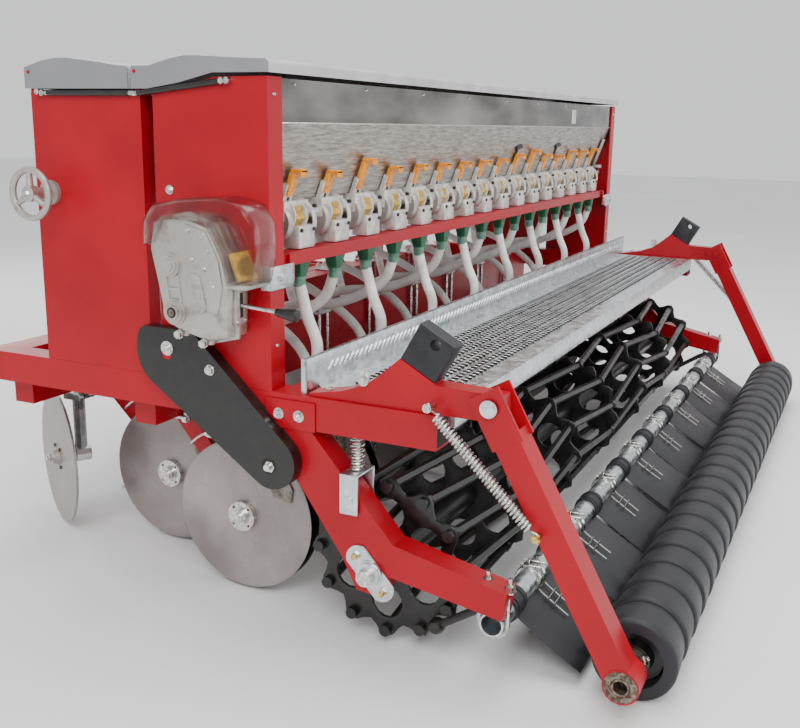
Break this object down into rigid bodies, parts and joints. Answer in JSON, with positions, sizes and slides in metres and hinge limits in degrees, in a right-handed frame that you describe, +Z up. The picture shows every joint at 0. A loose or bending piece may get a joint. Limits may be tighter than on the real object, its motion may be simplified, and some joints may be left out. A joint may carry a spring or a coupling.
{
  "type": "mounted seed drill",
  "caption": "Tractor-mounted seed drill with seed and fertiliser hoppers, double-disc openers, footboard, cage packer roller and rubber-ring press roller.",
  "frame": {"origin": "middle of the footprint, on the floor", "axes": "+X along the machine width to its right, +Y the direction of travel (hitch in front), +Z up"},
  "size_m": [2.714, 1.864, 1.168],
  "materials": {
    "red_paint": "glossy powder coat on welded steel",
    "grey_paint": "satin powder coat on sheet steel",
    "stainless_sheet": "bright rolled stainless sheet",
    "galvanised_steel": "zinc-coated steel with faint spangle",
    "cast_aluminium": "die cast, lightly blasted",
    "black_paint": "semi-gloss black paint",
    "black_rubber": "moulded rubber",
    "hose_plastic": "translucent corrugated hose",
    "disc_steel": "rolled boron steel with a dull scale"
  },
  "bodies": {
    "drill_body": {"main_frame": "red_paint", "middle_beam": "red_paint", "front_toolbar": "red_paint", "headstock": "red_paint", "seed_hopper_end_left": "red_paint", "seed_hopper_end_right": "red_paint", "fertiliser_hopper_end_left": "red_paint", "fertiliser_hopper_end_right": "red_paint", "seed_funnel_rail": "red_paint", "fertiliser_funnel_rail": "red_paint", "rear_opener_arms": "red_paint", "front_opener_arms": "red_paint", "cage_roller_arm_left": "red_paint", "cage_roller_arm_right": "red_paint", "press_arm_bracket_left": "red_paint", "press_arm_bracket_right": "red_paint", "press_roller_arm_left": "red_paint", "press_roller_arm_right": "red_paint", "seed_hopper": "stainless_sheet", "fertiliser_hopper": "stainless_sheet", "seed_metering_unit": "cast_aluminium", "fertiliser_metering_unit": "cast_aluminium", "gearbox": "cast_aluminium", "handwheel": "cast_aluminium", "seed_tubes": "hose_plastic", "fertiliser_tubes": "hose_plastic", "chain_case": "black_paint", "rubber_buffer_left": "black_rubber", "rubber_buffer_right": "black_rubber", "flap_pipe": "galvanised_steel", "press_arm_spring_left": "galvanised_steel", "press_arm_spring_right": "galvanised_steel", "footboard": "galvanised_steel", "edge_disc_arm_left": "galvanised_steel", "edge_disc_arm_right": "galvanised_steel"},
    "seed_lid": {"seed_hopper_lid": "grey_paint"},
    "fertiliser_lid": {"fertiliser_hopper_lid": "grey_paint"},
    "cage_packer": {"cage_roller": "black_paint"},
    "press_packer": {"press_roller_core": "galvanised_steel", "press_roller_rings": "black_rubber"},
    "edge_disc_left": {"edge_disc_left": "disc_steel"},
    "edge_disc_right": {"edge_disc_right": "disc_steel"},
    "stand_left": {"parking_stand_left": "red_paint"},
    "stand_right": {"parking_stand_right": "red_paint"},
    "opener_discs_01": {"opener_discs_01": "disc_steel"},
    "opener_discs_02": {"opener_discs_02": "disc_steel"},
    "opener_discs_03": {"opener_discs_03": "disc_steel"},
    "opener_discs_04": {"opener_discs_04": "disc_steel"},
    "opener_discs_05": {"opener_discs_05": "disc_steel"},
    "opener_discs_06": {"opener_discs_06": "disc_steel"},
    "opener_discs_07": {"opener_discs_07": "disc_steel"},
    "opener_discs_08": {"opener_discs_08": "disc_steel"},
    "opener_discs_09": {"opener_discs_09": "disc_steel"},
    "opener_discs_10": {"opener_discs_10": "disc_steel"},
    "opener_discs_11": {"opener_discs_11": "disc_steel"},
    "opener_discs_12": {"opener_discs_12": "disc_steel"},
    "opener_discs_13": {"opener_discs_13": "disc_steel"},
    "opener_discs_14": {"opener_discs_14": "disc_steel"},
    "opener_discs_15": {"opener_discs_15": "disc_steel"},
    "opener_discs_16": {"opener_discs_16": "disc_steel"}
  },
  "joints": [
    {"name": "seed_lid_hinge", "type": "hinge", "parent": "drill_body", "child": "seed_lid", "pos_m": [0.028, 0.172, 1.14], "axis": [-1, 0, 0], "range_deg": [0, 80]},
    {"name": "fertiliser_lid_hinge", "type": "hinge", "parent": "drill_body", "child": "fertiliser_lid", "pos_m": [0.028, 0.448, 1.14], "axis": [-1, 0, 0], "range_deg": [0, 80]},
    {"name": "cage_packer_spin", "type": "hinge", "parent": "drill_body", "child": "cage_packer", "pos_m": [0.028, -0.348, 0.19], "axis": [1, 0, 0], "continuous": true},
    {"name": "press_packer_spin", "type": "hinge", "parent": "drill_body", "child": "press_packer", "pos_m": [0.028, -0.85, 0.082], "axis": [1, 0, 0], "continuous": true},
    {"name": "edge_disc_left_spin", "type": "hinge", "parent": "drill_body", "child": "edge_disc_left", "pos_m": [-1.006, 0.712, 0.182], "axis": [0.848, -0.5299, 0], "continuous": true},
    {"name": "edge_disc_right_spin", "type": "hinge", "parent": "drill_body", "child": "edge_disc_right", "pos_m": [1.062, 0.712, 0.182], "axis": [0.848, 0.5299, 0], "continuous": true},
    {"name": "opener_01_spin", "type": "hinge", "parent": "drill_body", "child": "opener_discs_01", "pos_m": [-1.097, 0.052, 0.182], "axis": [1, 0, 0], "continuous": true},
    {"name": "opener_02_spin", "type": "hinge", "parent": "drill_body", "child": "opener_discs_02", "pos_m": [-0.947, 0.372, 0.182], "axis": [1, 0, 0], "continuous": true},
    {"name": "opener_03_spin", "type": "hinge", "parent": "drill_body", "child": "opener_discs_03", "pos_m": [-0.797, 0.052, 0.182], "axis": [1, 0, 0], "continuous": true},
    {"name": "opener_04_spin", "type": "hinge", "parent": "drill_body", "child": "opener_discs_04", "pos_m": [-0.647, 0.372, 0.182], "axis": [1, 0, 0], "continuous": true},
    {"name": "opener_05_spin", "type": "hinge", "parent": "drill_body", "child": "opener_discs_05", "pos_m": [-0.497, 0.052, 0.182], "axis": [1, 0, 0], "continuous": true},
    {"name": "opener_06_spin", "type": "hinge", "parent": "drill_body", "child": "opener_discs_06", "pos_m": [-0.347, 0.372, 0.182], "axis": [1, 0, 0], "continuous": true},
    {"name": "opener_07_spin", "type": "hinge", "parent": "drill_body", "child": "opener_discs_07", "pos_m": [-0.197, 0.052, 0.182], "axis": [1, 0, 0], "continuous": true},
    {"name": "opener_08_spin", "type": "hinge", "parent": "drill_body", "child": "opener_discs_08", "pos_m": [-0.047, 0.372, 0.182], "axis": [1, 0, 0], "continuous": true},
    {"name": "opener_09_spin", "type": "hinge", "parent": "drill_body", "child": "opener_discs_09", "pos_m": [0.103, 0.052, 0.182], "axis": [1, 0, 0], "continuous": true},
    {"name": "opener_10_spin", "type": "hinge", "parent": "drill_body", "child": "opener_discs_10", "pos_m": [0.253, 0.372, 0.182], "axis": [1, 0, 0], "continuous": true},
    {"name": "opener_11_spin", "type": "hinge", "parent": "drill_body", "child": "opener_discs_11", "pos_m": [0.403, 0.052, 0.182], "axis": [1, 0, 0], "continuous": true},
    {"name": "opener_12_spin", "type": "hinge", "parent": "drill_body", "child": "opener_discs_12", "pos_m": [0.553, 0.372, 0.182], "axis": [1, 0, 0], "continuous": true},
    {"name": "opener_13_spin", "type": "hinge", "parent": "drill_body", "child": "opener_discs_13", "pos_m": [0.703, 0.052, 0.182], "axis": [1, 0, 0], "continuous": true},
    {"name": "opener_14_spin", "type": "hinge", "parent": "drill_body", "child": "opener_discs_14", "pos_m": [0.853, 0.372, 0.182], "axis": [1, 0, 0], "continuous": true},
    {"name": "opener_15_spin", "type": "hinge", "parent": "drill_body", "child": "opener_discs_15", "pos_m": [1.003, 0.052, 0.182], "axis": [1, 0, 0], "continuous": true},
    {"name": "opener_16_spin", "type": "hinge", "parent": "drill_body", "child": "opener_discs_16", "pos_m": [1.153, 0.372, 0.182], "axis": [1, 0, 0], "continuous": true},
    {"name": "stand_left_slide", "type": "slide", "parent": "drill_body", "child": "stand_left", "axis": [0, 0, 1], "range_m": [0, 0.26]},
    {"name": "stand_right_slide", "type": "slide", "parent": "drill_body", "child": "stand_right", "axis": [0, 0, 1], "range_m": [0, 0.26]}
  ]
}
